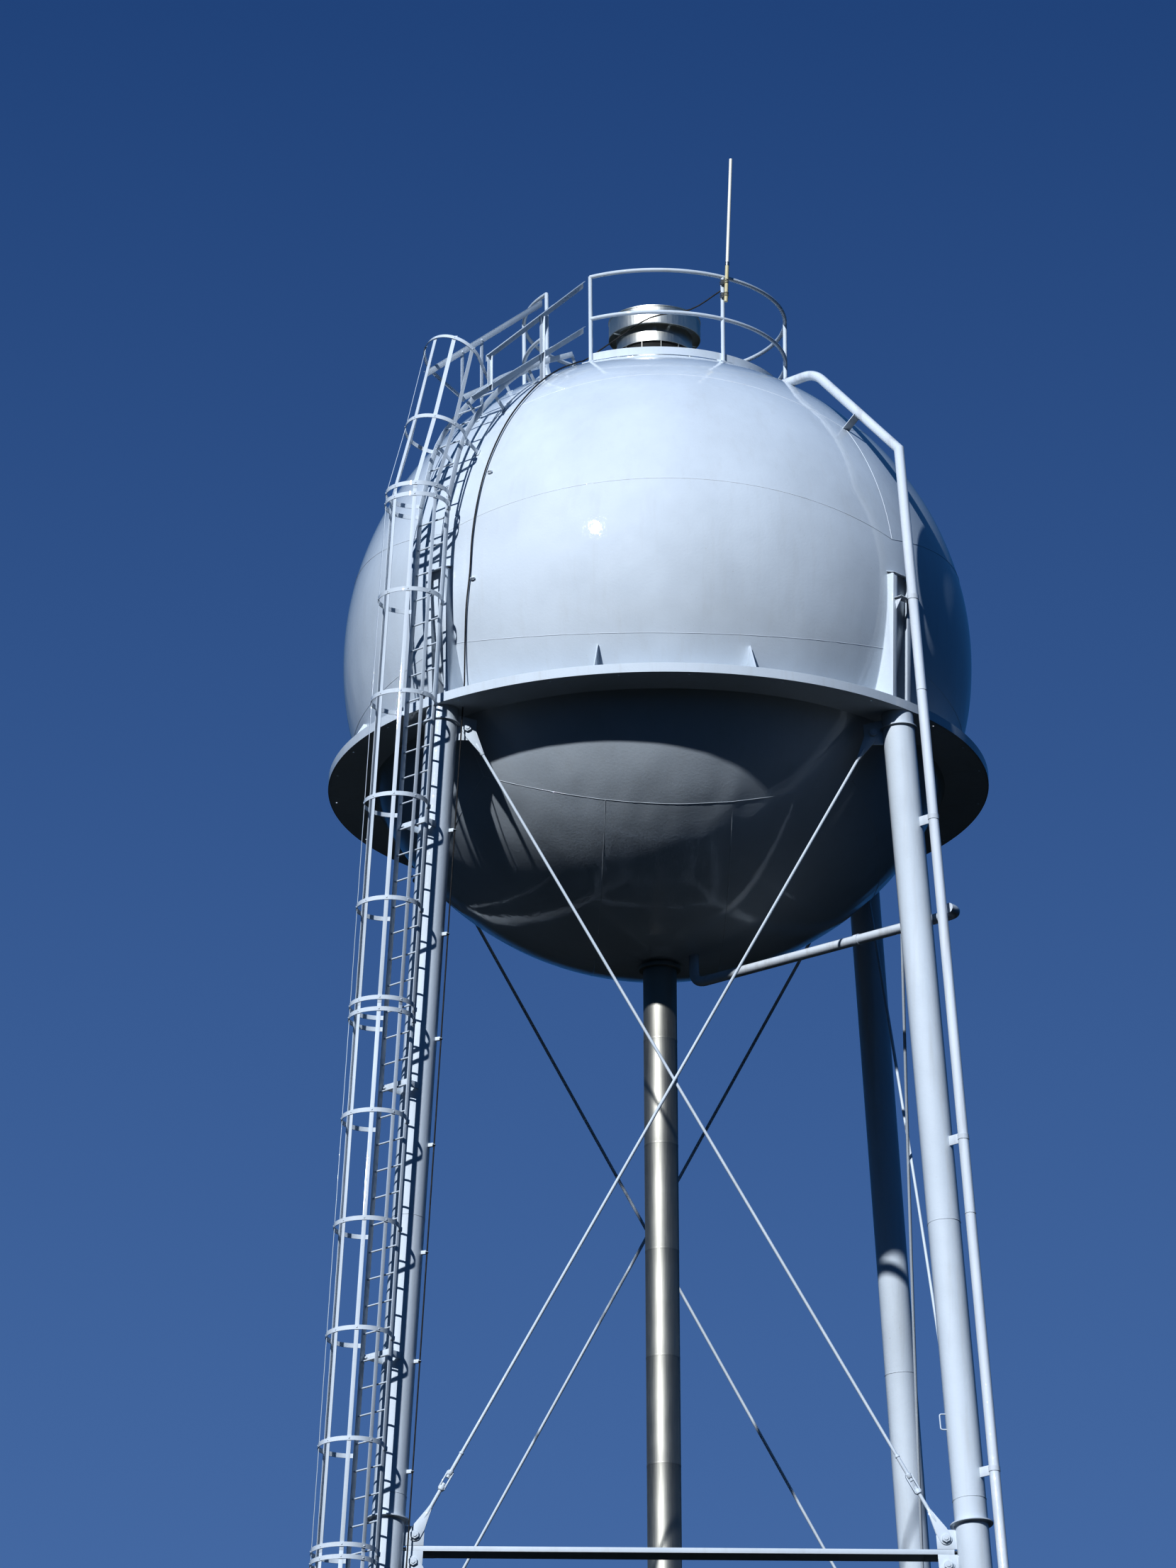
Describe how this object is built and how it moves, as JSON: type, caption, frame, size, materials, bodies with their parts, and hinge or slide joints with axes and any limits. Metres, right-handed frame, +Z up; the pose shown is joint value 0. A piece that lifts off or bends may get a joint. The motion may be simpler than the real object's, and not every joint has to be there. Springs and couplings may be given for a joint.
{
  "type": "elevated water tower",
  "caption": "Welded near-spherical water tank on battered tubular legs with cross rods, a central riser, a balcony ring, a caged ladder, a roof handrail and a vent.",
  "frame": {"origin": "centre of the riser's foot, on the ground", "axes": "+Z up, -Y the front face seen in the picture, +X to its right"},
  "size_m": [9.7524, 9.6272, 38.2158],
  "materials": {
    "white_paint": "gloss",
    "jacket_steel": "satin",
    "pipe_paint": "gloss",
    "antenna_white": "matte",
    "cable_black": "matte"
  },
  "bodies": {
    "root": {"antenna": "antenna_white", "antenna_cable_leg_run": "cable_black", "antenna_cable_tank_run": "cable_black", "balcony_ring": "white_paint", "base_plate_back_left": "white_paint", "base_plate_back_right": "white_paint", "base_plate_front_left": "white_paint", "base_plate_front_right": "white_paint", "cage_section_1": "white_paint", "cage_section_2": "white_paint", "cage_section_3": "white_paint", "cage_section_4": "white_paint", "cage_section_5": "white_paint", "cage_top": "white_paint", "column_head_back_left": "white_paint", "column_head_back_right": "white_paint", "column_head_front_left": "white_paint", "column_head_front_right": "white_paint", "drain_pipe": "pipe_paint", "ladder_length_1": "white_paint", "ladder_length_2": "white_paint", "ladder_length_3": "white_paint", "ladder_length_4": "white_paint", "ladder_length_5": "white_paint", "leg_back_left": "white_paint", "leg_back_right": "white_paint", "leg_front_left": "white_paint", "leg_front_right": "white_paint", "overflow_pipe": "pipe_paint", "riser_pipe": "jacket_steel", "rods_back_bottom": "white_paint", "rods_back_middle": "white_paint", "rods_back_top": "white_paint", "rods_front_bottom": "white_paint", "rods_front_middle": "white_paint", "rods_front_top": "white_paint", "rods_left_bottom": "white_paint", "rods_left_middle": "white_paint", "rods_left_top": "white_paint", "rods_right_bottom": "white_paint", "rods_right_middle": "white_paint", "rods_right_top": "white_paint", "roof_handrail": "white_paint", "roof_ladder": "white_paint", "roof_ladder_rail_left": "white_paint", "roof_ladder_rail_right": "white_paint", "strut_back_lower": "white_paint", "strut_back_upper": "white_paint", "strut_front_lower": "white_paint", "strut_front_upper": "white_paint", "strut_left_lower": "white_paint", "strut_left_upper": "white_paint", "strut_right_lower": "white_paint", "strut_right_upper": "white_paint", "tank_bowl": "white_paint", "tank_roof": "white_paint", "tank_shell": "white_paint", "vent_hood": "jacket_steel", "vent_neck": "jacket_steel"}
  },
  "joints": []
}
